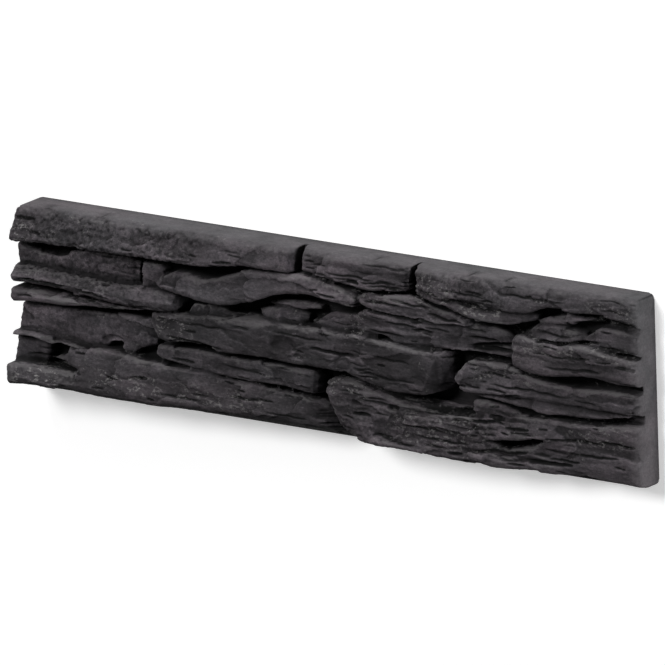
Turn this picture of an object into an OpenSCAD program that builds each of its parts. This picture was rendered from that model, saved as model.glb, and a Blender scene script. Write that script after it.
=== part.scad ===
// Concrete cladding tile with the face of a dry-stacked slate wall, cast in one piece.
// It lies on its back: X runs along the tile, Y up its face, Z out of the wall.

/* [Tile] */
// Length of the tile
tile_l = 380; // [300:1:450]
// Height of the tile's face
tile_h = 100; // [80:1:130]
// Thickness of the backing slab, at the bottom of the joints between the ledges
slab_t = 8; // [6:0.5:12]
// Corner radius of the tile, seen from the front
corner_r = 3; // [1:0.5:8]

/* [Relief] */
// Width of the shadow joint between neighbouring ledges
joint_w = 1.3; // [0.6:0.1:2.5]
// Radius of the worn edges along the front of a ledge
worn_r = 2; // [1:0.1:3.5]
// Radius of the belly under the two thick ledges at the bottom
belly_r = 5; // [3:0.5:8]
// Depth of the relief, as a share of the depth that the ledges are drawn at
relief_scale = 1; // [0.7:0.05:1.2]

/* [Hidden] */

// The ledges are drawn on a face of this size, and stretch with the tile.
drawn_l = 380;
drawn_h = 100;
stretch = [tile_l / drawn_l, tile_h / drawn_h];
// Thicknesses that the ledges are drawn at: of the whole tile, and of its slab
drawn_t = 32;
drawn_slab_t = 8;
// Thickness of the tile at its thickest ledge
tile_t = slab_t + (drawn_t - drawn_slab_t) * relief_scale;
// The ledges are rooted in the slab at this height above the back.
root_z = 1.5;
// Longest step along a ledge between two of its cross-sections
loft_step = 8;
// The underside leans back by this much to the left of this place.
lean_back = 2.7;
lean_end = 28;
overshoot = 1;

// A ledge is [rounding, foot, stations]. Rounding is the radius of its [lower, upper] edge.
// Foot is how far its [lower, upper] flank spreads at the root. A station is [place along
// the tile, lower edge, upper edge, thickness at the lower edge, thickness at the upper
// edge], all as drawn, the thickness from the tile's back.
worn = [worn_r, worn_r];
upright = [0, 0];

// Caps along the top edge
cap_left = [[2.5, 3.5], upright, [
    [-190, 31.8, 50, 26, 19], [-186, 31.6, 50, 26, 18.5], [-167.6, 32.1, 50, 25, 18.5],
    [-132.6, 32.8, 50, 25, 19.5], [-102.6, 33.2, 50, 25, 19.5], [-77.6, 33.2, 50, 25, 20],
    [-62.6, 34.8, 50, 24.5, 20], [-47.6, 36.8, 50, 24, 20.5], [-20.6, 36.8, 50, 22.5, 21],
    [-18.1, 37.1, 50, 18.5, 18]]];
cap_middle = [[2.2, 3.5], upright, [
    [-15.1, 38.8, 50, 16, 15], [-12.6, 38, 50, 19.5, 18], [2.4, 35.8, 50, 20.5, 19],
    [17.4, 33.5, 50, 20.5, 19.5], [35.4, 34, 50, 21, 20], [50.4, 35.4, 50, 20.5, 20],
    [53.4, 36.4, 50, 18.5, 18]]];
cap_right = [[2.5, 3.5], upright, [
    [54.7, 39.8, 50, 17, 16], [56.9, 37.8, 50, 20.5, 18.5], [63.4, 36.3, 50, 22, 20.5],
    [75.4, 35, 50, 22.5, 20.5], [94.4, 34.8, 50, 22, 20], [117.4, 34, 50, 21.5, 19.5],
    [127.4, 35.8, 50, 21, 19], [137.4, 38.6, 50, 20.5, 19], [152.4, 38.2, 50, 19.5, 18],
    [167.4, 38.4, 50, 18.5, 17.5], [179.4, 36.3, 50, 17.5, 17], [190, 33.8, 50, 17, 16.5]]];
cap_lip = [worn, upright, [
    [55.4, 34.8, 39.8, 18, 18], [67.4, 32.8, 38.3, 20.5, 20], [75.4, 31.6, 35.8, 21, 20],
    [85.4, 28.8, 35.7, 21.2, 20.2], [93.4, 26.8, 35.5, 21, 19.6], [99.4, 26.5, 36.8, 21, 19.5],
    [114.4, 27.3, 35.8, 20.5, 19], [123.4, 28.8, 35.3, 18.5, 17.5], [128.4, 30.3, 34.8, 15, 14]]];

// Second course
shelf_left = [worn, upright, [
    [-190, 17.8, 31.3, 17, 18.4], [-185, 17.8, 29.8, 17, 18], [-177, 17.6, 26.8, 16.5, 16.5],
    [-167.6, 17.3, 26.3, 17, 16.5], [-159.6, 17.1, 29.3, 17, 17], [-150.6, 16.8, 31.8, 17, 17],
    [-132.6, 16.3, 32.4, 17, 16.5], [-122.6, 16, 31.1, 16.5, 15.5], [-116.6, 15.8, 29.8, 15, 14]]];
chock = [worn, upright, [
    [-113.2, 16.8, 29.8, 18, 17.5], [-111.6, 16.3, 30.9, 21.4, 20.4], [-108.2, 16, 30.9, 21, 19.6],
    [-102.6, 15.8, 29.4, 18.4, 17], [-97.6, 15.8, 25.8, 15.5, 15]]];
wave = [[3, 2.5], upright, [
    [-104.1, 18.3, 22.3, 19, 18.5], [-99.6, 17.4, 25.8, 22, 20.5], [-92.6, 17, 28.6, 23.5, 21],
    [-84.6, 15.8, 28.8, 24, 21], [-77.6, 15, 27.4, 24.5, 21.5], [-71.6, 14.4, 27.4, 25, 22],
    [-60.6, 14.2, 31.3, 26, 22], [-52.6, 15.6, 34, 26, 22], [-44.6, 17.8, 35.8, 25.5, 22],
    [-36.6, 21, 36.4, 25.2, 22], [-28.6, 23.8, 36.6, 24.8, 22], [-20.6, 25.4, 36.8, 24, 22],
    [-5.6, 26.1, 37.4, 24, 21.5], [5.4, 25.6, 35.7, 24, 21], [13.4, 24.2, 33.4, 23.3, 20.8],
    [18.4, 23.5, 31.3, 21, 19.5], [20.9, 24.3, 29.8, 17, 16]]];
wedge = [worn, upright, [
    [-87, 5, 8.5, 15, 14.5], [-83, 5.3, 13.2, 18, 16.5], [-74, 5.6, 13.4, 18.5, 17],
    [-62, 6.4, 12.4, 18, 16.5], [-52, 7.2, 11.6, 17, 16], [-43.3, 8, 10.6, 14.2, 13.7]]];
block_left = [worn, upright, [
    [-44, 12, 13.5, 12, 12], [-39, 10, 16, 17, 15.5], [-29.4, 9.4, 18.2, 20.6, 19],
    [-27.2, 9.2, 18.5, 21, 19.4], [-25, 9.3, 18.4, 19.4, 17.6], [-17, 9.6, 17.6, 17, 15.5],
    [-12.5, 10.4, 16, 14.5, 13.5]]];
block_back = [worn, upright, [
    [-36.6, 16.8, 19.8, 14, 13.5], [-26.6, 16.8, 22.1, 17, 16], [-14.6, 16.8, 22.5, 17, 16],
    [-4.6, 17.8, 21.1, 14.5, 14.5]]];
block_middle = [worn, upright, [
    [-11.5, 10.8, 12.8, 13, 13], [-6, 9.6, 15.1, 16, 15], [-1, 9.2, 17.8, 17.8, 16.3],
    [4, 9.2, 19.3, 18.5, 17], [12, 9.3, 19.8, 18.5, 17.5], [21, 9.8, 19.8, 17, 16.5]]];
strata_upper = [worn, upright, [
    [20.2, 26.6, 30.8, 17.2, 16.7], [23.4, 25.8, 32.4, 20, 19], [31, 23.6, 33.5, 21, 20],
    [52.4, 22, 35, 21.4, 20.9], [60.4, 21.6, 34.3, 21.4, 20.9], [69.4, 21.4, 31.5, 21.4, 20.6],
    [79.4, 21.6, 29.8, 21, 20.2], [87.4, 21.8, 27, 20.2, 19.6], [90.5, 22, 25.6, 16, 15.5]]];
strata_lower = [worn, upright, [
    [17.9, 13.8, 17.8, 15.5, 15.5], [20.4, 10.8, 21.8, 19.8, 19], [25.4, 9.5, 24.4, 21, 20],
    [35.4, 10.3, 24.8, 21, 20.5], [44.4, 9, 24.2, 21, 20], [57.4, 8.5, 23.8, 21, 20],
    [72.4, 8.8, 23.6, 20, 19.5], [87.4, 9, 24.8, 19, 18.5], [100.4, 8.6, 24.3, 18, 17.5],
    [109.4, 8.4, 22.8, 16.5, 16], [114.9, 9.3, 20.3, 14, 14]]];
leaf = [worn, [0, 3], [
    [118.4, 22.8, 24.8, 12.5, 12.5], [124.4, 21.3, 28.3, 17.4, 15.2], [131.4, 20.9, 30.3, 19, 16.6],
    [140, 20.9, 30.4, 19.6, 17.4], [142, 21, 30.3, 19.2, 17], [152, 21.8, 29.2, 17, 15],
    [156.6, 22.8, 28, 14, 13]]];
leaf_back = [worn, upright, [
    [128.4, 28.8, 31.8, 13.5, 13.5], [137.4, 29.8, 34.8, 16, 15], [145.4, 30.8, 37.1, 16, 15],
    [157.4, 32.3, 37.4, 15, 14], [168.4, 34.8, 37.1, 12.5, 12.5]]];
block_end = [worn, upright, [
    [155.4, 23.6, 25.6, 13, 13], [160.4, 21.2, 29.3, 15.5, 14.5], [166.4, 20.4, 32.5, 17, 15.5],
    [173.4, 20.1, 33.2, 17, 16], [180.4, 19.8, 33, 17, 16], [190, 19.1, 32, 16.8, 16]]];
round_nose = [[3, 3], upright, [
    [114.4, 13.3, 19.3, 16.5, 16.5], [115.7, 9.6, 22.4, 20.5, 19.5],
    [118.9, 6.2, 24.1, 23.6, 21.8], [124.4, 4.8, 24, 24.4, 22.2], [130.4, 4.5, 23, 24.5, 22],
    [142.4, 4.6, 22.2, 24, 21.5], [157.4, 5.4, 23, 22.5, 20.5], [165.4, 5.1, 22.4, 21.5, 20],
    [173.4, 4.4, 20.6, 20.5, 19.5], [190, 3.8, 19, 19.2, 18.5]]];

// Third course
finger = [[5, 3.5], upright, [
    [-190, 9.9, 20.2, 25.5, 22], [-184, 9.7, 20.2, 25.7, 22], [-170, 8.9, 19.4, 25, 22],
    [-150, 7.2, 18.8, 25, 22], [-130, 6.2, 18.2, 25, 22], [-112, 5.4, 17.8, 25, 22.5],
    [-100, 5.7, 17.4, 24.5, 22.5], [-94.6, 6.3, 16.8, 24.4, 22.5], [-91.4, 7.2, 16.2, 23.6, 21.8],
    [-90, 9, 14.8, 19, 17.5]]];
sliver = [[3.5, 3], upright, [
    [-190, 0.4, 8.9, 25.8, 25], [-184, 0.7, 8.9, 25.5, 24.5], [-175, 1.1, 8.4, 25, 24],
    [-160, 1.5, 7.8, 25, 23.5], [-145, 2.1, 6.9, 24, 22.5], [-130, 2.8, 6.2, 22, 21],
    [-118, 3.5, 5.6, 20, 19], [-110, 4, 5.2, 17.5, 17]]];
shelf_lower = [worn, upright, [
    [-190, -16, -1.2, 18.4, 16.2], [-180, -16, -1.2, 17.4, 15.4], [-170, -19, -1, 16, 15],
    [-155, -21, -0.6, 16, 15], [-144, -21, -0.2, 16, 15], [-141, -19.6, -0.1, 16, 15],
    [-134, -17.3, 0, 15.8, 15], [-129, -17.1, 0.2, 15.8, 15], [-127.3, -21, 0.2, 16, 15],
    [-121, -21, 0.2, 16.2, 15], [-119.2, -18.6, 0, 16.2, 15], [-113, -16.4, -0.4, 14.6, 13.6],
    [-108.5, -15, -1.6, 12.5, 12], [-106.5, -9, -4, 10, 10]]];
long_ledge = [[3, 3], upright, [
    [-109.5, 0.3, 3.5, 16.5, 16.5], [-107, -2.7, 5, 20.5, 19], [-100.6, -8.8, 6.2, 24, 22],
    [-92, -9.3, 7, 25, 22], [-77, -9.7, 8.3, 25.5, 22.5], [-62, -10, 9.6, 25.5, 23],
    [-42, -10.2, 10.6, 25, 23], [-22, -10.1, 11.3, 25, 23], [-5, -9.8, 11.6, 25, 23],
    [10, -10.7, 11.6, 25, 22.5], [22, -12.4, 11.2, 25.5, 22.5], [36, -15.2, 10, 26, 23],
    [48, -16.8, 9.2, 26.5, 23.5], [58, -16.6, 9, 26.5, 23.5], [64.6, -15.8, 9, 26, 23.8],
    [70.5, -14.4, 8.8, 18.5, 23.4], [73.5, -13.2, 8.8, 15.5, 22], [77, -10.5, 8.5, 14, 17],
    [78, -9, 8, 9, 10]]];
spear = [worn, upright, [
    [77.4, -5.2, -2.7, 14.5, 14], [79.4, -7.7, -1.5, 18.5, 17], [82.4, -10.4, 0.6, 20.8, 18.8],
    [86.4, -11.1, 5.3, 21.8, 19], [89.4, -11.1, 7.1, 22, 19], [95.4, -11, 7.4, 21.8, 19],
    [105.4, -10.7, 7, 21.3, 19], [114.4, -10.7, 6.1, 21, 18.5], [122.4, -10.7, 2.2, 20.5, 18.5],
    [137.4, -10.5, 0.4, 19.5, 18], [152.4, -11.2, 0.2, 18.5, 17.5], [167.4, -12, 0.9, 17.5, 17],
    [190, -11.7, 0.4, 16, 15.5]]];
spear_foot = [worn, upright, [
    [84, -12.4, -9, 16.5, 16.5], [102, -13.6, -8.6, 19, 18], [117, -15.8, -8.6, 19, 18],
    [135, -17.2, -8.6, 18.5, 17.5], [149, -17.2, -9, 18.2, 17], [160, -16.6, -11, 17.5, 16.5],
    [172, -15.2, -11.6, 16.3, 15.5], [183, -13.4, -11.8, 13.5, 13.5]]];

// Bottom course
plank = [[2.2, 2.2], upright, [
    [-106.6, -17, -13.5, 15.5, 15], [-105.3, -18.6, -12.2, 19.5, 18.5],
    [-99.5, -20.2, -11.1, 21.5, 20.5], [-87, -20.8, -10.9, 22, 21], [-81, -22.2, -11, 22, 21],
    [-70, -22.6, -11.1, 22, 21], [-64, -23.2, -11.3, 22, 21], [-50, -23.6, -11.5, 22, 21],
    [-30, -24.3, -11.7, 22, 21], [-14, -25.4, -12, 22, 21], [-7, -26, -12.4, 21.5, 20.5],
    [-4.6, -26, -13.8, 19.5, 18.5], [-3.4, -25, -15.5, 15, 14.5]]];
rim = [[1.2, 1.2], upright, [
    [-190, -17.4, -14, 25, 23.5], [-184, -17.8, -14.4, 23.6, 22.6], [-174, -20.4, -15.8, 22.5, 21.5],
    [-169, -21.6, -16.8, 22, 21], [-163, -19.6, -16.6, 22.5, 21.5], [-157, -21, -17.2, 23, 21.8],
    [-150.2, -22.3, -18.9, 20.6, 19.8]]];
hollow_back = [worn, upright, [
    [-190, -32.6, -16.8, 23, 20], [-183, -32.8, -16.8, 21, 18.6], [-178, -32.8, -17, 18, 17.5],
    [-174.5, -32, -18.5, 17.5, 17], [-173, -30.6, -21, 16, 15.5], [-172.4, -29.5, -22, 9, 9]]];
chip = [worn, upright, [
    [-173, -30.4, -27.8, 15, 15], [-166, -30.4, -26, 18, 17], [-160.5, -30.6, -24, 20.5, 19.5],
    [-158, -30.8, -19, 22.4, 21.3], [-153, -31.2, -18.6, 24.6, 21.3],
    [-147.7, -31.4, -19.4, 23.9, 19.6]]];
sill = [[belly_r, 2.5], [6.5, 0], [
    [-190, -43, -30, 32, 31.6], [-184, -43, -30.2, 31.7, 30], [-172, -43, -31.4, 30.5, 27.5],
    [-160, -43.1, -31.6, 29.5, 25.5], [-153, -43.4, -31.6, 28.7, 24.5],
    [-150.5, -43.6, -25, 28.3, 22.5], [-147, -43.8, -18.6, 28, 21], [-130, -44.3, -18.8, 27, 21],
    [-107, -44.3, -19.8, 26.5, 22], [-88, -44, -21, 26, 22], [-80, -44, -20.9, 26, 22],
    [-70, -43.8, -21.4, 25.6, 22], [-64, -43.8, -23, 25.5, 22], [-40, -43.8, -23.8, 24.5, 21.5],
    [-20, -43.9, -24.8, 23.5, 21], [-6, -43.9, -26.6, 22.5, 20.5], [1, -43.6, -28.6, 21, 19],
    [6, -44, -33, 18, 16.5], [10, -44.5, -38, 13, 12.5]]];
heel = [[5, 3], [1.5, 0], [
    [0.8, -23, -17.5, 18, 18], [2.3, -26, -15, 22.5, 21.5], [5.3, -30, -13.4, 24.8, 23],
    [7, -34, -13, 25, 23], [10.5, -39, -12.8, 25, 23], [15, -42.4, -12.8, 25, 23],
    [20, -44.4, -13, 25.5, 23], [25.4, -46.1, -14.4, 26, 23], [33.4, -46.6, -16.9, 26, 23],
    [41.4, -46.8, -19.8, 25.7, 22.5], [52.4, -47.3, -21.2, 25.3, 22.3],
    [70, -48, -21.5, 24.8, 22], [92, -48.9, -21.5, 24, 21], [97, -48.9, -29, 23.7, 21.3],
    [106, -48.8, -35.8, 23.3, 21.3], [112, -48.7, -35.6, 23, 21], [119, -48.6, -33.6, 22.6, 20.8],
    [132, -48.3, -30.8, 21.8, 20.2],
    [137, -48.2, -21.5, 21.4, 19.2], [148, -48, -19.5, 20, 18], [168, -48, -17.6, 18.5, 17],
    [190, -49, -15.4, 17.5, 16.5]]];
heel_bench = [[1.8, 2.2], upright, [
    [91, -26, -21.5, 21, 20.5], [96, -32.4, -21.2, 22.6, 21], [105, -34.4, -20.9, 23.2, 21],
    [109, -32.8, -20.8, 23, 21], [118, -32.1, -20.3, 22.5, 20.9], [126, -30.4, -20.1, 22.1, 20.7],
    [134, -30.4, -20.1, 21.4, 20.1], [146, -30.6, -20, 18, 17.5]]];
heel_ribs = [[1, 1], upright, [
    [47.5, -31.5, -28.5, 22, 21.5], [51, -32.6, -26.4, 25.1, 24.6], [63, -31.4, -25.6, 24.7, 24.2],
    [77, -32, -26.2, 24.6, 23.9], [91, -33, -27, 24.2, 23.6], [94.5, -32.6, -28.5, 21, 20.5]]];
heel_base = [[2, 1], upright, [
    [27, -43, -40.5, 23, 22.5], [31, -44.6, -39.6, 26.8, 26.2], [48, -45, -39, 27, 26.2],
    [64, -45.8, -40.2, 26.6, 26], [82, -46, -39.6, 26.2, 25.6], [99, -46.4, -41, 25.6, 25],
    [102.5, -45.6, -42.5, 21.5, 21]]];
heel_strata = [worn, upright, [
    [40, -23, -18.2, 13, 12.5], [53, -23, -18.4, 15.5, 14.5], [73, -23, -18.4, 15, 14],
    [89, -23, -18.8, 13.5, 12.5]]];
heel_block = [worn, upright, [
    [88.6, -22.5, -16, 16, 15], [90.6, -23, -14.2, 19.6, 18.4], [98, -23, -13.9, 20.2, 18.2],
    [106, -23, -14.8, 20, 18], [116, -23, -17, 19.7, 17.9], [130, -23, -18.6, 19.5, 18],
    [148, -23, -18.7, 18.8, 17.5], [160, -22.5, -18.2, 17.3, 16.5], [170, -21.5, -18, 15, 14.5]]];

// Fill that makes the joints shallower towards the right end
end_web = [worn, upright, [
    [166, -17, 34, 8.5, 8.5], [176, -17, 35, 9.5, 11], [184, -17, 35.5, 10.5, 13],
    [190, -17, 36, 11, 14]]];

LEDGES = [
    cap_left, cap_middle, cap_right, cap_lip, shelf_left, chock, wave, wedge, block_left,
    block_back, block_middle, strata_upper, strata_lower, leaf, leaf_back, block_end,
    round_nose, finger, sliver, shelf_lower, long_ledge, spear, spear_foot, plank, rim,
    hollow_back, chip, sill, heel, heel_bench, heel_ribs, heel_base, heel_strata,
    heel_block, end_web];

// Slope of value k of the stations between two of them
function chord(t, i, k) = (t[i + 1][k] - t[i][k]) / (t[i + 1][0] - t[i][0]);

// Slope at a station, level at a peak, so that a curve through the stations never overshoots
function slope(t, i, k) =
    i == 0 ? chord(t, 0, k) :
    i == len(t) - 1 ? chord(t, i - 1, k) :
    chord(t, i - 1, k) * chord(t, i, k) <= 0 ? 0 :
    2 / (1 / chord(t, i - 1, k) + 1 / chord(t, i, k));

// Station at share s of the way from station i to the next, on a smooth curve
function between(t, i, s) =
    let (w = t[i + 1][0] - t[i][0])
    [for (k = [0 : 4])
        k == 0 ? t[i][0] + s * w :
        t[i][k] * (1 + 2 * s) * pow(1 - s, 2) + slope(t, i, k) * w * s * pow(1 - s, 2) +
        t[i + 1][k] * s * s * (3 - 2 * s) + slope(t, i + 1, k) * w * s * s * (s - 1)];

function smooth(t) = [
    for (i = [0 : len(t) - 2])
        let (n = ceil((t[i + 1][0] - t[i][0]) / loft_step))
        for (j = [0 : n - 1]) between(t, i, j / n),
    t[len(t) - 1]];

// Edge of a ledge on the tile: flush with the tile's own edge, or half a joint short of its
// neighbour, on the side it is bounded from
function edge(y, side) =
    abs(y) >= drawn_h / 2 ? sign(y) * tile_h / 2 : y * stretch[1] - side * joint_w / 2;

// Quarter of a round edge in four points, from turn a
function corner(y, z, r, a) = [for (i = [0 : 3]) [y + r * cos(a - 30 * i), z + r * sin(a - 30 * i)]];

// Cross-section of a ledge at one station: a ring of points in the plane across the tile
function ring(ledge, station) =
    let (
        low = edge(station[1], -1),
        high = max(edge(station[2], 1), low + 1),
        out = [for (k = [3, 4]) max(slab_t + (station[k] - drawn_slab_t) * relief_scale, slab_t)],
        r = [for (k = [0, 1]) min(ledge[0][k], (high - low) * 0.48, (out[k] - root_z) / 2)])
    [for (p = concat(
            [[low - ledge[1][0], root_z]],
            corner(low + r[0], out[0] - r[0], r[0], 180),
            corner(high - r[1], out[1] - r[1], r[1], 90),
            [[high + ledge[1][1], root_z]]))
        [station[0] * stretch[0], p[0], p[1]]];

// One ledge, lofted through its cross-sections
module loft(ledge) {
    rings = [for (s = smooth(ledge[2])) ring(ledge, s)];
    for (i = [0 : len(rings) - 2])
        hull()
            polyhedron(concat(rings[i], rings[i + 1]), [[for (p = [0 : 2 * len(rings[0]) - 1]) p]]);
}

module tile_block(height) {
    linear_extrude(height)
        offset(corner_r, $fn = 32)
            square([tile_l - 2 * corner_r, tile_h - 2 * corner_r], center = true);
}

// Backing slab, with the underside leaning back where the thickest ledge overhangs it
module slab() {
    difference() {
        tile_block(slab_t);
        hull()
            for (x = [-tile_l / 2 - overshoot, lean_end * stretch[0]])
                translate([x, -tile_h / 2, root_z])
                    rotate([atan(lean_back / (slab_t - root_z)) * -1, 0, 0])
                        translate([0, -4 * overshoot, 0])
                            cube([0.01, 4 * overshoot, 2 * slab_t]);
    }
}

module cladding_tile() {
    color([0.16, 0.155, 0.16]) {
        slab();
        intersection() {
            for (ledge = LEDGES)
                loft(ledge);
            tile_block(tile_t + overshoot);
        }
    }
}

cladding_tile();
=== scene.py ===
"""Looks of the concrete cladding tile: the split-slate grain of its ledges, its concrete and the studio."""
import math
import random

import bmesh
import bpy
import numpy as np
from mathutils import Matrix, Vector, noise


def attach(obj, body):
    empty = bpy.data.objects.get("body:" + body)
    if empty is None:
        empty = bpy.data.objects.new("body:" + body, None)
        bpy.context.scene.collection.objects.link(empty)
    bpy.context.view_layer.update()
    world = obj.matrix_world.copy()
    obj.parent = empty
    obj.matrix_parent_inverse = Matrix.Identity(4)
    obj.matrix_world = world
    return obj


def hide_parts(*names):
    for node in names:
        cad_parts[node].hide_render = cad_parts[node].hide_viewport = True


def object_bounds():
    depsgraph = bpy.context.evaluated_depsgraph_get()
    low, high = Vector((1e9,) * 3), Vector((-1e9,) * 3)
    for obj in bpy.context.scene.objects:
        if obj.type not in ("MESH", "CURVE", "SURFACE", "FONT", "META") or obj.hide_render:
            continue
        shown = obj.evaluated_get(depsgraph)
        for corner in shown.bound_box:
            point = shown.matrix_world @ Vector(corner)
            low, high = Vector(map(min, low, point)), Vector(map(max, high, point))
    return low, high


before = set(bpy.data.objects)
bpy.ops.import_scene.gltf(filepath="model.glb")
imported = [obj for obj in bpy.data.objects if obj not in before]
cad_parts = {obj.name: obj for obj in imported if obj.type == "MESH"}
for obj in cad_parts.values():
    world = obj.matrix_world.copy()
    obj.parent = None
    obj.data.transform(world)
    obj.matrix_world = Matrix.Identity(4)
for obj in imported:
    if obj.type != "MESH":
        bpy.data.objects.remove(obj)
size_before = [list(c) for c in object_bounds()]
scene = bpy.context.scene

# The shape is worked out in millimetres, and stored in metres.
MM = 0.001
# Half the tile's length, half its height, and its thickness
HALF_L, HALF_H, THICK = (round(v / MM) for v in size_before[1])
# Size of the facets that the grain is worked into, and how many triangles are kept of them
FACET = 0.5
TRIANGLES = 190000
# Below the first height there is no grain, and from the second one on there is all of it.
NO_GRAIN_BELOW, FULL_GRAIN_ABOVE = 8.0, 12.0
# Flat flake scars on the face: how many, and the seed of their places
SCARS, SCAR_SEED = 190, 21
# Cell of the grid of heights that tells the high places from the joints
CELL = 0.8

# Long splits along the bedding: (x0, y0, x1, y1, half width, depth), on the face
SPLITS = [
    (-189, 44.3, -178, 44, 0.7, 1.6), (-65, 37.6, -53, 38.4, 0.6, 1.4), (24, 47.8, 54, 47, 0.6, 1),
    (15, 37.8, 23, 37.2, 0.9, 2.2), (76, 35.8, 96, 34.2, 0.5, 2), (27, 24, 69, 22.8, 0.8, 2.6),
    (54, 18.2, 67, 17.4, 0.6, 1.8), (90, 13.8, 114, 16.8, 1.1, 3.2), (88, 18, 106, 17.8, 0.6, 1.6),
    (28, 14.2, 50, 13.4, 0.5, 1.3), (38, 19.4, 58, 19.6, 0.5, 1.3), (25, 29, 48, 29.4, 0.5, 1.4),
    (42, 32, 64, 30, 0.5, 1.4), (64, 27.2, 86, 25.2, 0.6, 1.6), (-188, 12.6, -160, 12, 0.7, 2),
    (-152, 11.4, -130, 9.8, 0.5, 1.2), (-6, 0.8, 20, -0.6, 0.8, 2.4), (-95, -5.2, -60, -7.6, 0.8, 1.6),
    (-90, -7.6, -64, -9.4, 0.7, 1.8), (-88, 1.8, -58, 3.2, 0.4, 0.9), (-30, 5.4, 2, 5, 0.4, 1),
    (32, 1.8, 56, 0.4, 0.4, 1), (26, -6.8, 50, -9.2, 0.4, 1.1), (-94, -17.4, -79, -17.8, 0.6, 1.6),
    (-102, -20.6, -84, -21.2, 0.6, 1.6), (-64, -16.8, -38, -17.8, 0.4, 1),
    (-117, -29.6, -108, -29.8, 0.8, 1.8), (-57, -31.6, -39, -32.2, 0.6, 1.5),
    (-102, -35.8, -74, -36.4, 0.4, 1), (-36, -37.2, -10, -38, 0.4, 1), (19, -29.6, 31, -29.8, 0.8, 2),
    (61, -24, 77, -23.8, 0.8, 2.2), (76, -23, 88, -22.8, 0.7, 2), (89, -24.2, 110, -24.2, 0.8, 2.2),
    (111, -25.4, 126, -25.8, 0.8, 2.2), (94, -39.8, 124, -37.4, 1, 2.6),
    (125, -41.8, 151, -40.4, 0.9, 2.4), (32, -39, 44, -39.2, 0.7, 1.6), (78, -41.8, 87, -42, 0.7, 1.6),
    (48, -31.8, 78, -32.8, 0.5, 1.3), (58, -36.8, 90, -37.2, 0.5, 1.3),
    (138, -28.4, 170, -27.8, 0.6, 1.6), (166, -26.6, 188, -27.2, 0.8, 2),
    (148, -34.8, 178, -34.4, 0.5, 1.3), (22, -22.4, 42, -23.4, 0.5, 1.2), (10, -18.8, 26, -20, 0.4, 1),
    (130, 16.4, 158, 15.8, 0.4, 0.9), (138, 10.4, 170, 10.2, 0.4, 1), (102, -4.4, 148, -5.8, 0.5, 1.2),
    (128, 26.8, 150, 25.8, 0.5, 1.2), (96, 1.2, 114, 0.2, 0.5, 1.2), (72, 41.2, 102, 40.4, 0.4, 1),
    (108, 43.4, 148, 44, 0.4, 1), (2, 40.8, 32, 40, 0.4, 1), (28, 37.2, 50, 37.6, 0.4, 1.2),
    (39.5, -23.6, 46.5, -25, 1.3, 2.8), (76, -22, 90, -21.2, 0.7, 2.2), (90, 12.6, 113, 13.2, 1.2, 2.4),
    (4, -10.8, 18, -11, 1, 2.5), (131, 22, 150, 22.8, 0.5, 3),
    (150, 22.8, 167, 24.6, 0.6, 3), (167, 23, 190, 21.6, 0.4, 2.4), (151, 32, 171, 35.6, 1.5, 3),
    (-161, 6.6, -122, 4.2, 0.45, 1.6), (-175, 12, -158, 12.4, 0.6, 1.8), (-148, 11.4, -136, 10.6, 0.4, 1.2),
    (100, -21.8, 110, -22.2, 0.5, 1.8), (137, -38.8, 155, -38.6, 0.5, 1.8),
    (134, -34.6, 147, -35.2, 0.4, 1.4),
]
# Hollows with a soft rim: (x, y, half length, half height, depth)
HOLLOWS = [
    (13.5, -5.5, 6.5, 5, 1.8), (-78, -7.6, 17, 2.6, 1.5), (-23, 0, 9, 5.5, 1.3), (-168, 28, 10, 3, 1.6),
    (118, -23, 10, 3, 1.2), (62, -23.5, 14, 1.8, 1.3), (-134, -15, 8, 3.5, 1.6), (140, -36, 13, 3, 1.2),
    (100, 12.5, 14, 2.4, 1.4), (112, -41, 12, 2.6, 1.2), (24, -25, 9, 3, 0.8),
]

# The zones below are soft boxes on the face: (x, y, half length, half height, how much).
# Where there are no short splits
SMOOTH = [
    (146, 28, 16, 6, 1), (-46, 27, 40, 8, 1), (-100, 22, 16, 8, 1), (125, 14, 12, 9, 1),
    (-150, -9, 44, 8, 1), (-110, -26, 30, 5, 1), (60, 0, 18, 9, 1), (-24, 0, 8, 6, 1),
]
# Where chalky dust lies
DUSTY = [
    (-176, -36, 14, 4, 1), (-120, -34, 20, 5, 0.7), (-184, 36, 6, 6, 0.8), (-150, 14, 16, 3, 0.35),
    (66, 40, 12, 8, 1), (96, 32, 14, 6, 0.8), (16, -18, 12, 5, 0.9), (-92, -1, 12, 6, 0.7),
    (20, 18, 6, 12, 0.8), (28, 31, 12, 3, 0.8), (70, -33, 30, 8, 0.6), (150, 20, 36, 4, 0.6),
    (176, 40, 14, 6, 0.8), (104, 2, 24, 5, 0.6), (-60, -34, 30, 5, 0.5), (168, -24, 20, 6, 0.7),
]
# Where the stone is split into thin beds
LAYERED = [
    (66, 22, 56, 16, 1.0), (78, -34, 64, 17, 1.0), (30, 43, 30, 9, 0.6), (112, -4, 34, 8, 0.6),
    (-50, -18, 55, 7, 0.45), (20, -4, 34, 9, 0.4), (-170, 5, 30, 4, 0.5), (150, 16, 40, 9, 0.3),
    (168, -30, 26, 18, 0.25), (-60, -34, 60, 9, 0.2),
]
# Where it is rough and pitted
ROUGH = [
    (-140, 42, 64, 10, 1.0), (-150, 25, 42, 9, 1.0), (84, 42, 34, 9, 0.7), (-130, 14, 60, 6, 0.5),
    (60, -34, 50, 12, 0.5), (-150, -8, 40, 8, 0.6), (-30, 43, 40, 8, 0.4),
]
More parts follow.
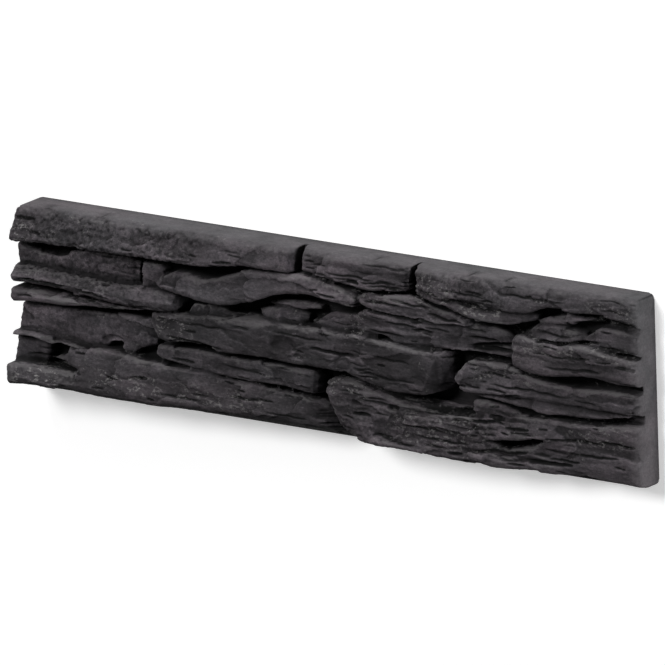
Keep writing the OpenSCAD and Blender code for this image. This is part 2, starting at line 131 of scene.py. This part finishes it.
# Where the concrete is darker, with a share below 0, or paler
STAINS = [
    (-24, -1, 7, 6, -0.45), (-66, 1, 44, 10, -0.32), (16, -1, 34, 12, -0.3), (52, -4, 22, 12, -0.4),
    (-90, -34, 100, 10, -0.22), (-20, -34, 30, 9, -0.2), (150, 14, 40, 8, -0.25), (-50, 26, 56, 10, 0.12),
    (28, -28, 20, 16, -0.05), (80, -34, 40, 14, -0.2), (150, -34, 40, 14, -0.12), (120, 43, 70, 8, -0.12),
    (-148, -9, 42, 8, 0.62), (-150, 23, 42, 8, 0.2), (-10, 31, 30, 6, 0.1), (-104, 22, 12, 7, 0.2),
    (50, 20, 56, 11, 0.05), (18, 42, 34, 8, 0.15), (-150, 42, 44, 8, -0.1),
]


# Noise and zones
def smooth(v, lo, hi):
    """0 below lo, 1 above hi, smooth in between, for an array."""
    t = np.clip((v - lo) / (hi - lo), 0, 1)
    return t * t * (3 - 2 * t)


def fractal(p, scale, seed):
    """Fractal noise of two octaves at points p, each axis divided by scale first."""
    fall, finer, octaves = 0.45, 2.0, 2
    q = p / np.asarray(scale, float) + seed
    return np.fromiter(
        (noise.fractal(v, fall, finer, octaves, noise_basis="PERLIN_ORIGINAL") for v in q.tolist()),
        float, len(q))


def plain(p, scale, seed):
    """Noise of one octave at points p, each axis divided by scale first."""
    q = p / np.asarray(scale, float) + seed
    return np.fromiter((noise.noise(v) for v in q.tolist()), float, len(q))


def zone(p, zones):
    """How far points p lie in the soft boxes of a list."""
    out = np.zeros(len(p))
    for cx, cy, rx, ry, much in zones:
        far = np.maximum(np.abs(p[:, 0] - cx) / rx, np.abs(p[:, 1] - cy) / ry)
        out = np.maximum(out, much * (1 - smooth(far, 0.75, 1.25)))
    return out


def stain(p):
    """How much darker or paler the concrete is at points p, 1 where it is neither."""
    out = np.ones(len(p))
    wander = 3 * plain(p, (9, 6, 9), 17.0)
    for cx, cy, rx, ry, much in STAINS:
        far = np.maximum(np.abs(p[:, 0] - cx) / rx, (np.abs(p[:, 1] - cy) + wander) / ry)
        out *= 1 + much * (1 - smooth(far, 0.7, 1.2))
    return out


def inset(p):
    """How far points p lie inside the tile's outline, seen from the front."""
    return np.minimum(HALF_L - np.abs(p[:, 0]), HALF_H - np.abs(p[:, 1]))


# Grain of the split stone
def short_splits():
    """Many short splits, most of them on the right half, where the photograph has the most."""
    pick = random.Random(11)
    count, on_the_right = 260, 170
    out = []
    for k in range(count):
        x = pick.uniform(-20, 186) if k < on_the_right else pick.uniform(-186, 0)
        y = pick.uniform(-47, 48)
        long = pick.uniform(4, 15)
        rise = pick.uniform(-0.06, 0.03) * long
        split = (x, y, x + long, y + rise, pick.uniform(0.2, 0.45), pick.uniform(0.5, 1.5))
        if zone(np.array([[x + long / 2, y]]), SMOOTH)[0] < 0.5:
            out.append(split)
    return out


def split_depth(p):
    """How deep the splits cut at points p. They waver, and taper to both of their ends."""
    out = np.zeros(len(p))
    wave = plain(p, (7, 40, 40), 3.1) * 0.9
    past_end, past_side = 2, 8
    for x0, y0, x1, y1, half, deep in SPLITS + short_splits():
        along = (p[:, 0] > x0 - past_end) & (p[:, 0] < x1 + past_end)
        near = np.where(along & (np.abs(p[:, 1] - (y0 + y1) / 2) < past_side))[0]
        if len(near) == 0:
            continue
        t = np.clip((p[near, 0] - x0) / (x1 - x0), 0, 1)
        off = np.abs(p[near, 1] - (y0 + t * (y1 - y0)) - wave[near])
        taper = np.sqrt(np.clip(4 * t * (1 - t), 0, 1))
        half_here = half * (0.35 + 0.65 * taper) + 0.25
        cut = deep * taper * np.clip(1 - (off / half_here) ** 2, 0, 1)
        out[near] = np.maximum(out[near], cut)
    return out


def chip_depth(p):
    """Shallow chips broken off the face, each deepest at its upper edge."""
    pick = random.Random(5)
    chips = 170
    out = np.zeros(len(p))
    for _ in range(chips):
        cx, cy = pick.uniform(-186, 186), pick.uniform(-46, 46)
        rx, ry = pick.uniform(2.5, 9), pick.uniform(1.2, 3.2)
        deep = pick.uniform(0.25, 0.8)
        near = np.where((np.abs(p[:, 0] - cx) < rx) & (np.abs(p[:, 1] - cy) < ry))[0]
        u = (p[near, 0] - cx) / rx
        v = (p[near, 1] - cy) / ry
        inside = smooth(1 - u * u - v * v, 0, 0.25)
        out[near] = np.maximum(out[near], inside * deep * (0.55 + 0.45 * v))
    return out


def hollow_depth(p):
    """How deep the soft hollows are at points p."""
    out = np.zeros(len(p))
    for cx, cy, rx, ry, deep in HOLLOWS:
        far = ((p[:, 0] - cx) / rx) ** 2 + ((p[:, 1] - cy) / ry) ** 2
        out = np.maximum(out, deep * smooth(1 - far, 0, 0.7))
    return out


def scars(p):
    """Flat flake scars, each tilted its own way, with low steps where they meet."""
    pick = random.Random(SCAR_SEED)
    x = p[:, 0] + 3.0 * plain(p, (6, 4, 9), SCAR_SEED + 0.5)
    y = p[:, 1] + 1.6 * plain(p, (6, 4, 9), SCAR_SEED + 5.5)
    longer = 2.6
    nearest = np.full(len(p), 1e9)
    out = np.zeros(len(p))
    for _ in range(SCARS):
        cx, cy = pick.uniform(-HALF_L, HALF_L), pick.uniform(-HALF_H, HALF_H)
        tilt_x, tilt_y = pick.uniform(-0.09, 0.09), pick.uniform(-0.18, 0.18)
        level = pick.uniform(-0.3, 0.3)
        far = ((x - cx) / longer) ** 2 + (y - cy) ** 2
        closer = far < nearest
        nearest = np.where(closer, far, nearest)
        out = np.where(closer, level + tilt_x * (x - cx) + tilt_y * (y - cy), out)
    return np.clip(out, -1.0, 0.7)


def terraced(v, step):
    """Level terraces with steep edges between them."""
    low = np.floor(v / step)
    return (low + smooth(v / step - low, 0.72, 1.0)) * step


def strata(p, thick, seed):
    """Layered steps: each bed along the length stands out by its own amount."""
    bend = fractal(p, (60, 30, 60), seed) * 3.0 + plain(p, (9, 14, 30), seed + 2) * 0.5
    bed = (p[:, 1] + bend) / thick
    low = np.floor(bed)
    part = bed - low
    out = []
    for k in (low, low + 1):
        q = np.stack([p[:, 0] / 17 + k * 0.37, k * 5.71, np.full(len(p), seed)], 1)
        out.append(np.fromiter((noise.noise(v) for v in q.tolist()), float, len(q)))
    step = smooth(part, 0.72, 1.0)
    return out[0] * (1 - step) + out[1] * step


def grain_height(p):
    """How far the grain moves the stone at points p: outwards above 0, inwards below."""
    layered = 0.12 + 0.88 * zone(p, LAYERED)
    rough = zone(p, ROUGH)
    height = 0.3 * fractal(p, (32, 14, 14), 4.0) + 0.75 * scars(p)
    height += layered * 1.7 * terraced(fractal(p, (30, 5.2, 8), 1.3), 0.22)
    height += layered * 0.45 * strata(p, 2.2, 7.7)
    height += 0.16 * fractal(p, (3.2, 2.0, 2.0), 9.0)
    pits = smooth(plain(p, (1.8, 1.6, 1.6), 31.0), 0.15, 0.5)
    height += rough * (0.7 * plain(p, (2.9, 2.3, 2.3), 12.0) - 0.5 * pits)
    height = np.clip(height - 0.15, -1.4, 0.35)
    return height - 0.6 * chip_depth(p) - hollow_depth(p) - split_depth(p)


def grain_share(p, nor):
    """How much of the grain there is at points p: none on the back, the ends and the long sides."""
    inside = inset(p)
    on_side = np.maximum(np.abs(nor[:, 0]), np.abs(nor[:, 1])) > 0.8
    face = smooth(inside, 0.1, 1.6) * smooth(p[:, 2], NO_GRAIN_BELOW, FULL_GRAIN_ABOVE)
    border = 0.35 * smooth(p[:, 2], 10, 16) * (inside > 0.05)
    return np.where(on_side & (inside < 0.6), 0, np.maximum(face, border))


def bulge_left_end(co, p):
    """Lets the ledges bulge a little at the left end."""
    bulge, reach = 2.2, 10
    co[:, 2] += bulge * (1 - smooth(HALF_L + p[:, 0], 0, reach)) * smooth(p[:, 2], 12, 19) * MM


def wear_front_edges(co, p):
    """Wears the front edges of both ends and of the top side round, more in some places."""
    left_r, right_r, top_r = 2, 2.6, 2.2
    flat = p * (1, 1, 0)
    wear = 1 + 0.9 * plain(flat, (5, 5, 9), 40.0) + 0.4 * plain(flat, (1.8, 1.8, 3), 44.0)
    wear = np.clip(wear, 0.4, 2.2)
    for gap, r in ((HALF_L + p[:, 0], left_r), (HALF_L - p[:, 0], right_r), (HALF_H - p[:, 1], top_r)):
        r_here = r * wear
        lost = r_here - np.sqrt(np.clip(r_here ** 2 - np.clip(r_here - gap, 0, None) ** 2, 0, None))
        co[:, 2] -= lost * smooth(p[:, 2], 8, 17) * MM


# The tile's mesh
def apply_modifiers(ob):
    """Replaces the object's mesh by what its modifiers make of it."""
    dg = bpy.context.evaluated_depsgraph_get()
    made = bpy.data.meshes.new_from_object(ob.evaluated_get(dg))
    old = ob.data
    ob.modifiers.clear()
    ob.data = made
    bpy.data.meshes.remove(old)


def per_point(mesh, what):
    """The co or the normal of each of the mesh's points, as rows of three."""
    out = np.empty(len(mesh.vertices) * 3)
    mesh.vertices.foreach_get(what, out)
    return out.reshape(-1, 3)


def fine_tile():
    """The CAD tile with its doubles merged, as an even mesh that is fine enough for the grain."""
    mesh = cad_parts["cladding_tile"].data.copy()
    bm = bmesh.new()
    bm.from_mesh(mesh)
    bmesh.ops.remove_doubles(bm, verts=bm.verts, dist=1e-6)
    bm.to_mesh(mesh)
    bm.free()
    tile = bpy.data.objects.new("cast_tile", mesh)
    scene.collection.objects.link(tile)
    remesh = tile.modifiers.new("even", "REMESH")
    remesh.mode = "VOXEL"
    remesh.voxel_size = FACET * MM
    apply_modifiers(tile)
    return tile


def stone_shape():
    """The tile with the split-slate grain worked into its ledges, kept within the CAD tile's box."""
    tile = fine_tile()
    mesh = tile.data
    co = per_point(mesh, "co")
    nor = per_point(mesh, "normal")
    p = co / MM
    co += nor * (grain_height(p) * grain_share(p, nor) * MM)[:, None]
    bulge_left_end(co, p)
    wear_front_edges(co, p)
    for k, (lo, hi) in enumerate(((-HALF_L, HALF_L), (-HALF_H, HALF_H), (0, THICK))):
        co[:, k] = np.clip(co[:, k], lo * MM, hi * MM)
    mesh.vertices.foreach_set("co", co.ravel())
    mesh.update()

    thin = tile.modifiers.new("thin", "DECIMATE")
    thin.ratio = min(1.0, TRIANGLES / (2 * len(mesh.polygons)))
    apply_modifiers(tile)
    mark_surface(tile.data)
    return tile


# What the concrete's colour follows
def blurred(grid, reach):
    """Mean of a height grid over a square of 2 * reach + 1 cells."""
    for axis in (0, 1):
        pad = [(0, 0), (0, 0)]
        pad[axis] = (reach + 1, reach)
        run = np.cumsum(np.pad(grid, pad, mode="edge"), axis=axis)
        n = grid.shape[axis]
        far, near = np.arange(2 * reach + 1, 2 * reach + 1 + n), np.arange(n)
        grid = (np.take(run, far, axis) - np.take(run, near, axis)) / (2 * reach + 1)
    return grid


def height_grid(p):
    """The tile's height in each cell of a grid on its face, and the cell (i, j) of each point p.

    A cell without a point on the front takes the mean of its neighbours.
    """
    last_i, last_j = int(2 * HALF_L / CELL), int(2 * HALF_H / CELL)
    i = np.clip(((p[:, 0] + HALF_L) / CELL).astype(int), 0, last_i)
    j = np.clip(((p[:, 1] + HALF_H) / CELL).astype(int), 0, last_j)
    grid = np.zeros((last_i + 1, last_j + 1))
    np.maximum.at(grid, (i, j), p[:, 2])
    lowest_front = 6
    known = (grid > lowest_front).astype(float)
    mean = blurred(grid * known, 2) / np.maximum(blurred(known, 2), 0.02)
    return np.where(known > 0, grid, mean), i, j


def broken_rim(p, grid, i, j):
    """How much points p stand on an edge that gets a painted highlight: well above the stone over them, or
    to the left of them.
    """
    above = grid[i, np.minimum(j + 2, grid.shape[1] - 1)]
    beside = grid[np.maximum(i - 2, 0), j]
    rim = np.maximum(smooth(p[:, 2] - above, 1.2, 3.2), smooth(p[:, 2] - beside, 1.6, 3.6))
    return rim * (smooth(p[:, 2] - grid[i, j], -1.6, -0.4) * smooth(p[:, 2], 11, 14))


def dusty_border(p, wide):
    """How much points p lie on the frayed, dusty border of the face, along the top and right edges."""
    fray = 2.2 * plain(p, (7, 3, 5), 51.0) + 1.2 * plain(p, (2.2, 1.4, 2), 53.0)
    top = 0.7 * (1 - smooth(HALF_H - p[:, 1] + fray, 0, 5))
    right = 0.75 * (1 - smooth(HALF_L - p[:, 0] + fray, 0, 7))
    return np.maximum(top, right) * smooth(p[:, 2] - wide, -4, -1)


def mark_surface(mesh):
    """Stores on each point of the mesh, as attributes, what the concrete's colour follows.

    wear is how high it stands above its close surroundings: the high places are paler, partly
    as wear and partly as painted highlight, and the low ones get painted shade. deep is how deep
    it lies between the ledges, and paints shade into the joints. cast is how much it is on the
    flat cast sides or on the dusty border, the edge highlight how much it is on the upper or left
    edge of a ledge well above the stone next to it, where a highlight is painted, and flank how
    much the face turns to the right there, where shade is painted. pitted, dust and stain follow
    the zones, and the split mark follows the splits and paints shade into them. stain also holds
    painted shade on the downward-facing underside under the thick ledge at the lower left, and
    each flake scar has a shade of its own.
    """
    p = per_point(mesh, "co") / MM
    nor = per_point(mesh, "normal")
    grid, i, j = height_grid(p)
    close = blurred(grid, 2)[i, j]
    wide = blurred(grid, 8)[i, j]
    side = 1 - smooth(inset(p), 0.15, 1.2)
    # painted shade on the downward-facing underside at the lower left
    underside_shade = smooth(-nor[:, 1], 0.3, 0.75) * (p[:, 1] < -36) * smooth(30 - p[:, 0], 0, 30)
    shade = 1 + 0.55 * np.clip(scars(p), -0.45, 0.45)
    marks = {
        # wear: paler high places, partly wear and partly painted highlight, and painted shade in low places
        "wear": np.clip(0.5 + (p[:, 2] - close) * (1 - side) / 3.6, 0, 1),
        # deep: painted shade in the joints between the ledges
        "deep": np.clip((wide - p[:, 2]) * (1 - side) / 9.0, 0, 1),
        "cast": np.maximum(side, dusty_border(p, wide)),
        # painted highlight on the upper and left edges of the ledges
        "rim": np.clip(broken_rim(p, grid, i, j) * (1 - side), 0, 1),
        "pitted": zone(p, ROUGH),
        # painted shade in the splits, darkest where they cut deepest
        "split_shade": np.clip(split_depth(p) * 1.2, 0, 1) * (1 - side),
        "dust": zone(p, DUSTY),
        # stain: real stains and scar tones, darkened by the painted underside shade
        "stain": np.clip(stain(p) * shade * (1 - 0.85 * underside_shade), 0, 2),
        # flank: painted shade on faces turned to the right
        "flank": np.clip((nor[:, 0] - 0.22) * 2.6, 0, 1) * (1 - side),
    }
    for name, value in marks.items():
        mesh.attributes.new(name, "FLOAT", "POINT").data.foreach_set("value", value)


# Nodes of a material
def node(tree, kind, **values):
    n = tree.nodes.new(kind)
    for k, v in values.items():
        setattr(n, k, v)
    return n


def ramp(tree, source, stops):
    """Colour ramp over source, with stops of (place, colour)."""
    r = node(tree, "ShaderNodeValToRGB")
    els = r.color_ramp.elements
    while len(els) < len(stops):
        els.new(0.5)
    for el, (place, colour) in zip(els, stops):
        el.position = place
        el.color = (*colour, 1)
    tree.links.new(source, r.inputs["Fac"])
    return r.outputs["Color"]


def mask(tree, source, none, full):
    """0 where source is below none, and 1 where it is above full."""
    return ramp(tree, source, [(none, (0, 0, 0)), (full, (1, 1, 1))])


def stretched_noise(tree, scale, detail, rough, times=(1, 1, 1)):
    """Noise on Object coordinates, with each axis multiplied by times first."""
    co = node(tree, "ShaderNodeTexCoord")
    m = node(tree, "ShaderNodeMapping")
    m.inputs["Scale"].default_value = times
    tree.links.new(co.outputs["Object"], m.inputs["Vector"])
    t = node(tree, "ShaderNodeTexNoise")
    t.inputs["Scale"].default_value = scale
    t.inputs["Detail"].default_value = detail
    t.inputs["Roughness"].default_value = rough
    tree.links.new(m.outputs["Vector"], t.inputs["Vector"])
    return t.outputs["Fac"]


def attribute(tree, name):
    return node(tree, "ShaderNodeAttribute", attribute_name=name).outputs["Fac"]


def mix(tree, fac, a, b, mode="MIX"):
    """Mixes b into a by fac. All three are sockets or plain values."""
    m = node(tree, "ShaderNodeMix", data_type="RGBA", blend_type=mode)
    if isinstance(fac, (int, float)):
        m.inputs[0].default_value = fac
    else:
        tree.links.new(fac, m.inputs[0])
    for sock, v in ((m.inputs[6], a), (m.inputs[7], b)):
        if isinstance(v, tuple):
            sock.default_value = (*v, 1)
        else:
            tree.links.new(v, sock)
    return m.outputs[2]


def product(tree, a, b):
    return mix(tree, 1.0, a, b, "MULTIPLY")


# Charcoal concrete
# colour of the painted shade in the splits
CRACK_SHADE = (0.0035, 0.0036, 0.0036)
# colour of the painted highlight on the upper and left edges of the ledges
RIM_HIGHLIGHT = (0.088, 0.084, 0.086)
PALE_SPECK = (0.12, 0.115, 0.115)
PALE_SPECK_ON_SIDE = (0.16, 0.155, 0.155)
CHALK = (0.15, 0.144, 0.144)
# painted shade on faces turned to the right
FLANK_SHADE = (0.5, 0.5, 0.52)


def sandy_charcoal(t, sand, clouds):
    """Dark sand grain, mottled, with warmer and cooler clouds."""
    tone = ramp(t, sand, [
        (0.34, (0.0245, 0.0222, 0.0243)), (0.50, (0.036, 0.0328, 0.0357)),
        (0.66, (0.053, 0.0484, 0.0526))])
    mottle = ramp(t, stretched_noise(t, 120, 5, 0.7, (0.7, 1.2, 1)), [
        (0.35, (0.74, 0.75, 0.75)), (0.65, (1.22, 1.2, 1.21))])
    return product(t, product(t, tone, mottle), clouds)


def streaks_and_pits(t):
    """Thin streaks along the bedding, and round pits with a pale edge where the stone is pitted."""
    streak = ramp(t, stretched_noise(t, 900, 4, 0.65, (0.13, 1, 0.7)), [
        (0.28, (0.35, 0.36, 0.36)), (0.38, (0.94, 0.94, 0.94)),
        (0.60, (1.03, 1.03, 1.03)), (0.70, (1.7, 1.68, 1.68))])
    pit = ramp(t, stretched_noise(t, 330, 3, 0.6), [
        (0.40, (0.62, 0.63, 0.63)), (0.48, (0.9, 0.9, 0.9)), (0.515, (1.6, 1.57, 1.57)),
        (0.55, (1, 1, 1)), (0.66, (1.25, 1.24, 1.24))])
    return mix(t, attribute(t, "pitted"), streak, pit)


def wear_and_painted_light(t, colour):
    """Pales the high places, partly as wear and partly as painted highlight, and darkens the low places and
    the joints as painted shade.
    """
    wear = ramp(t, attribute(t, "wear"), [
        (0.2, (0.4, 0.4, 0.4)), (0.5, (1, 1, 1)), (0.75, (1.7, 1.68, 1.67))])
    # painted shade: the deeper a point lies between the ledges, the darker it is, down to near black
    deep = ramp(t, attribute(t, "deep"), [
        (0.12, (1, 1, 1)), (0.4, (0.5, 0.52, 0.51)), (0.7, (0.1, 0.11, 0.105))])
    return product(t, product(t, colour, wear), deep)


def ledge_colour(t, sand, clouds, specks):
    """Colour of the ledges."""
    colour = product(t, sandy_charcoal(t, sand, clouds), streaks_and_pits(t))
    # painted shade: the splits are painted near black
    colour = mix(t, attribute(t, "split_shade"), colour, CRACK_SHADE)
    stain_grey = node(t, "ShaderNodeCombineXYZ")
    for k in range(3):
        t.links.new(attribute(t, "stain"), stain_grey.inputs[k])
    colour = wear_and_painted_light(t, product(t, colour, stain_grey.outputs[0]))
    broken = ramp(t, stretched_noise(t, 160, 4, 0.7, (0.5, 1, 1)), [
        (0.38, (0.1, 0.1, 0.1)), (0.54, (0.85, 0.85, 0.85))])
    # painted highlight on the upper and left edges of the ledges, broken up by noise
    colour = mix(t, product(t, attribute(t, "rim"), broken), colour, RIM_HIGHLIGHT)
    # painted shade: faces turned to the right are darkened
    colour = mix(t, attribute(t, "flank"), colour, product(t, colour, FLANK_SHADE))
    colour = mix(t, specks, colour, PALE_SPECK)
    crumbs = mask(t, stretched_noise(t, 420, 4, 0.75, (0.7, 1.1, 1)), 0.545, 0.62)
    return mix(t, product(t, attribute(t, "dust"), crumbs), colour, CHALK)


def side_colour(t, sand, clouds, specks):
    """Colour of the flat cast sides and the dusty border of the face, paler and plainer."""
    side = ramp(t, sand, [(0.3, (0.054, 0.051, 0.0535)), (0.7, (0.098, 0.094, 0.097))])
    soft = ramp(t, stretched_noise(t, 90, 5, 0.65, (0.6, 1, 1)), [
        (0.32, (0.74, 0.75, 0.75)), (0.68, (1.2, 1.19, 1.2))])
    return mix(t, specks, product(t, product(t, side, clouds), soft), PALE_SPECK_ON_SIDE)


def concrete():
    """Charcoal cast concrete: fine sand grain, paler dust and painted highlight on the high parts, and
    painted shade in the joints.
    """
    m = bpy.data.materials.new("charcoal_concrete")
    m.use_nodes = True
    t = m.node_tree
    surface = t.nodes["Principled BSDF"]
    sand = stretched_noise(t, 700, 5, 0.8, (0.75, 1.1, 1.1))
    clouds = ramp(t, stretched_noise(t, 28, 4, 0.6, (0.5, 1.2, 1)), [
        (0.35, (0.86, 0.89, 0.90)), (0.65, (1.14, 1.08, 1.12))])
    pale_patch = mask(t, stretched_noise(t, 75, 6, 0.72, (0.7, 1.2, 1)), 0.56, 0.68)
    specks = product(t, pale_patch, mask(t, stretched_noise(t, 560, 3, 0.7), 0.53, 0.66))
    ledges = ledge_colour(t, sand, clouds, specks)
    sides = side_colour(t, sand, clouds, specks)
    colour = mix(t, attribute(t, "cast"), ledges, sides)
    t.links.new(colour, surface.inputs["Base Color"])
    surface.inputs["Roughness"].default_value = 0.88
    surface.inputs["Specular IOR Level"].default_value = 0.25
    bump = node(t, "ShaderNodeBump")
    bump.inputs["Strength"].default_value = 0.45
    bump.inputs["Distance"].default_value = 0.6 * MM
    t.links.new(stretched_noise(t, 600, 5, 0.75, (0.7, 1.2, 1.2)), bump.inputs["Height"])
    t.links.new(bump.outputs["Normal"], surface.inputs["Normal"])
    return m


# Studio
def plain_floor():
    """White floor that keeps the tile's shadow. The camera sees it a little brighter than it is lit."""
    half_size, lift = 6, 0.42
    bm = bmesh.new()
    bmesh.ops.create_grid(bm, x_segments=1, y_segments=1, size=half_size)
    mesh = bpy.data.meshes.new("floor")
    bm.to_mesh(mesh)
    bm.free()
    floor = bpy.data.objects.new("floor", mesh)
    scene.collection.objects.link(floor)
    m = bpy.data.materials.new("white_floor")
    m.use_nodes = True
    t = m.node_tree
    surface = t.nodes["Principled BSDF"]
    surface.inputs["Base Color"].default_value = (0.86, 0.86, 0.86, 1)
    surface.inputs["Roughness"].default_value = 0.9
    surface.inputs["Specular IOR Level"].default_value = 0.1
    unseen = node(t, "ShaderNodeEmission")
    unseen.inputs["Strength"].default_value = 0
    seen = node(t, "ShaderNodeEmission")
    seen.inputs["Strength"].default_value = lift
    both = node(t, "ShaderNodeAddShader")
    t.links.new(surface.outputs[0], both.inputs[0])
    t.links.new(by_camera_ray(t, unseen, seen), both.inputs[1])
    t.links.new(both.outputs[0], t.nodes["Material Output"].inputs["Surface"])
    mesh.materials.append(m)


def by_camera_ray(tree, unseen, seen):
    """The shader seen for what the camera sees, and unseen for what lights the tile."""
    pick = node(tree, "ShaderNodeMixShader")
    tree.links.new(node(tree, "ShaderNodeLightPath").outputs["Is Camera Ray"], pick.inputs[0])
    tree.links.new(unseen.outputs[0], pick.inputs[1])
    tree.links.new(seen.outputs[0], pick.inputs[2])
    return pick.outputs[0]


def sun(name, towards, strength, angle):
    """A soft sun. towards points from the tile to the light."""
    light = bpy.data.lights.new(name, "SUN")
    light.energy = strength
    light.angle = math.radians(angle)
    ob = bpy.data.objects.new(name, light)
    ob.rotation_euler = Vector(towards).to_track_quat("Z", "Y").to_euler()
    scene.collection.objects.link(ob)


def white_sky(fill):
    """World that lights the tile by fill, and is plain white to the camera."""
    world = bpy.data.worlds.new("studio")
    scene.world = world
    world.use_nodes = True
    t = world.node_tree
    unseen = t.nodes["Background"]
    seen = node(t, "ShaderNodeBackground")
    for shader, strength in ((unseen, fill), (seen, 1)):
        shader.inputs["Color"].default_value = (1, 1, 1, 1)
        shader.inputs["Strength"].default_value = strength
    t.links.new(by_camera_ray(t, unseen, seen), t.nodes["World Output"].inputs["Surface"])


# Camera
# It looks at the tile's face from its right and from above, from far away and nearly without
# perspective. RIGHT, UP and BACK are the picture's axes, and AIM is where it points along the
# first two.
RIGHT = Vector((0.8190, -0.0293, -0.5731))
UP = Vector((-0.1311, 0.9628, -0.2366))
BACK = Vector((0.5586, 0.2689, 0.7846))
AIM = (-0.0069, 0.003365)
DISTANCE = 14.01
FOCAL_MM = 1500
SENSOR_MM = 36


def photo_camera():
    lens = bpy.data.cameras.new("photo")
    lens.lens = FOCAL_MM
    lens.sensor_width = SENSOR_MM
    lens.clip_start = 0.1
    lens.clip_end = 60
    camera = bpy.data.objects.new("photo", lens)
    scene.collection.objects.link(camera)
    place = Matrix((RIGHT, UP, BACK)).transposed().to_4x4()
    place.translation = RIGHT * AIM[0] + UP * AIM[1] + BACK * DISTANCE
    camera.matrix_world = place
    scene.camera = camera


tile = stone_shape()
tile.data.materials.clear()
tile.data.materials.append(concrete())
for poly in tile.data.polygons:
    poly.use_smooth = True
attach(tile, "root")
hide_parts("cladding_tile")

plain_floor()
sun("front", (-0.30, 0.50, 0.81), 1.9, 20)
sun("above", (-0.12, 0.98, 0.14), 2.0, 12)
sun("right", (0.97, 0.12, 0.10), 2.6, 14)
white_sky(0.12)
photo_camera()
scene.view_settings.view_transform = "Standard"
